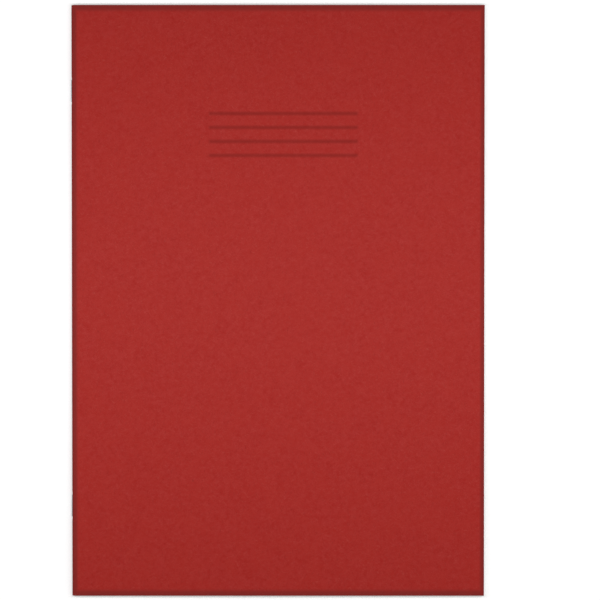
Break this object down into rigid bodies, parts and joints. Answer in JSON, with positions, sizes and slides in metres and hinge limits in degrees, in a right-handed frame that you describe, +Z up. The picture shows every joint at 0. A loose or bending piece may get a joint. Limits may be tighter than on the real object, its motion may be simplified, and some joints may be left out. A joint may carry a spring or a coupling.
{
  "type": "project book",
  "caption": "Portrait A4 exercise book with a plain card cover, ruled paper leaves that turn about the spine, and two wire staples through the fold.",
  "frame": {"origin": "middle of the closed book's underside, on the surface that it lies on", "axes": "+X from the spine to the fore-edge, +Y from the foot to the head, +Z up through the front cover"},
  "size_m": [0.2076, 0.297, 0.003],
  "materials": {
    "card": "matte",
    "paper": "matte",
    "wire": "satin"
  },
  "bodies": {
    "back_cover": {"back_cover": "card"},
    "leaf_16": {"leaf_16": "paper"},
    "leaf_15": {"leaf_15": "paper"},
    "leaf_14": {"leaf_14": "paper"},
    "leaf_13": {"leaf_13": "paper"},
    "leaf_12": {"leaf_12": "paper"},
    "leaf_11": {"leaf_11": "paper"},
    "leaf_10": {"leaf_10": "paper"},
    "leaf_09": {"leaf_09": "paper"},
    "leaf_08": {"leaf_08": "paper"},
    "leaf_07": {"leaf_07": "paper"},
    "leaf_06": {"leaf_06": "paper"},
    "leaf_05": {"leaf_05": "paper"},
    "leaf_04": {"leaf_04": "paper"},
    "leaf_03": {"leaf_03": "paper"},
    "leaf_02": {"leaf_02": "paper"},
    "leaf_01": {"leaf_01": "paper"},
    "front_cover": {"front_cover": "card"},
    "binding": {"cover_spine": "card", "fold_1": "paper", "fold_2": "paper", "fold_3": "paper", "fold_4": "paper", "fold_5": "paper", "fold_6": "paper", "fold_7": "paper", "fold_8": "paper", "staple_head": "wire", "staple_foot": "wire"}
  },
  "joints": [
    {"name": "leaf_16_turn", "type": "hinge", "parent": "back_cover", "child": "leaf_16", "pos_m": [-0.10206, 0, 0.0015], "axis": [0, -1, 0], "range_deg": [0, 180]},
    {"name": "leaf_15_turn", "type": "hinge", "parent": "leaf_16", "child": "leaf_15", "pos_m": [-0.10206, 0, 0.0015], "axis": [0, -1, 0], "range_deg": [0, 180]},
    {"name": "leaf_14_turn", "type": "hinge", "parent": "leaf_15", "child": "leaf_14", "pos_m": [-0.10206, 0, 0.0015], "axis": [0, -1, 0], "range_deg": [0, 180]},
    {"name": "leaf_13_turn", "type": "hinge", "parent": "leaf_14", "child": "leaf_13", "pos_m": [-0.10206, 0, 0.0015], "axis": [0, -1, 0], "range_deg": [0, 180]},
    {"name": "leaf_12_turn", "type": "hinge", "parent": "leaf_13", "child": "leaf_12", "pos_m": [-0.10206, 0, 0.0015], "axis": [0, -1, 0], "range_deg": [0, 180]},
    {"name": "leaf_11_turn", "type": "hinge", "parent": "leaf_12", "child": "leaf_11", "pos_m": [-0.10206, 0, 0.0015], "axis": [0, -1, 0], "range_deg": [0, 180]},
    {"name": "leaf_10_turn", "type": "hinge", "parent": "leaf_11", "child": "leaf_10", "pos_m": [-0.10206, 0, 0.0015], "axis": [0, -1, 0], "range_deg": [0, 180]},
    {"name": "leaf_09_turn", "type": "hinge", "parent": "leaf_10", "child": "leaf_09", "pos_m": [-0.10206, 0, 0.0015], "axis": [0, -1, 0], "range_deg": [0, 180]},
    {"name": "leaf_08_turn", "type": "hinge", "parent": "leaf_09", "child": "leaf_08", "pos_m": [-0.10206, 0, 0.0015], "axis": [0, -1, 0], "range_deg": [0, 180]},
    {"name": "leaf_07_turn", "type": "hinge", "parent": "leaf_08", "child": "leaf_07", "pos_m": [-0.10206, 0, 0.0015], "axis": [0, -1, 0], "range_deg": [0, 180]},
    {"name": "leaf_06_turn", "type": "hinge", "parent": "leaf_07", "child": "leaf_06", "pos_m": [-0.10206, 0, 0.0015], "axis": [0, -1, 0], "range_deg": [0, 180]},
    {"name": "leaf_05_turn", "type": "hinge", "parent": "leaf_06", "child": "leaf_05", "pos_m": [-0.10206, 0, 0.0015], "axis": [0, -1, 0], "range_deg": [0, 180]},
    {"name": "leaf_04_turn", "type": "hinge", "parent": "leaf_05", "child": "leaf_04", "pos_m": [-0.10206, 0, 0.0015], "axis": [0, -1, 0], "range_deg": [0, 180]},
    {"name": "leaf_03_turn", "type": "hinge", "parent": "leaf_04", "child": "leaf_03", "pos_m": [-0.10206, 0, 0.0015], "axis": [0, -1, 0], "range_deg": [0, 180]},
    {"name": "leaf_02_turn", "type": "hinge", "parent": "leaf_03", "child": "leaf_02", "pos_m": [-0.10206, 0, 0.0015], "axis": [0, -1, 0], "range_deg": [0, 180]},
    {"name": "leaf_01_turn", "type": "hinge", "parent": "leaf_02", "child": "leaf_01", "pos_m": [-0.10206, 0, 0.0015], "axis": [0, -1, 0], "range_deg": [0, 180]},
    {"name": "front_cover_turn", "type": "hinge", "parent": "leaf_01", "child": "front_cover", "pos_m": [-0.10206, 0, 0.0015], "axis": [0, -1, 0], "range_deg": [0, 180]},
    {"name": "binding_turn", "type": "hinge", "parent": "leaf_09", "child": "binding", "pos_m": [-0.10206, 0, 0.0015], "axis": [0, -1, 0], "range_deg": [0, 90]}
  ],
  "couplings": [
    {"joint": "binding_turn", "follows": "leaf_08_turn", "ratio": 0.5}
  ]
}
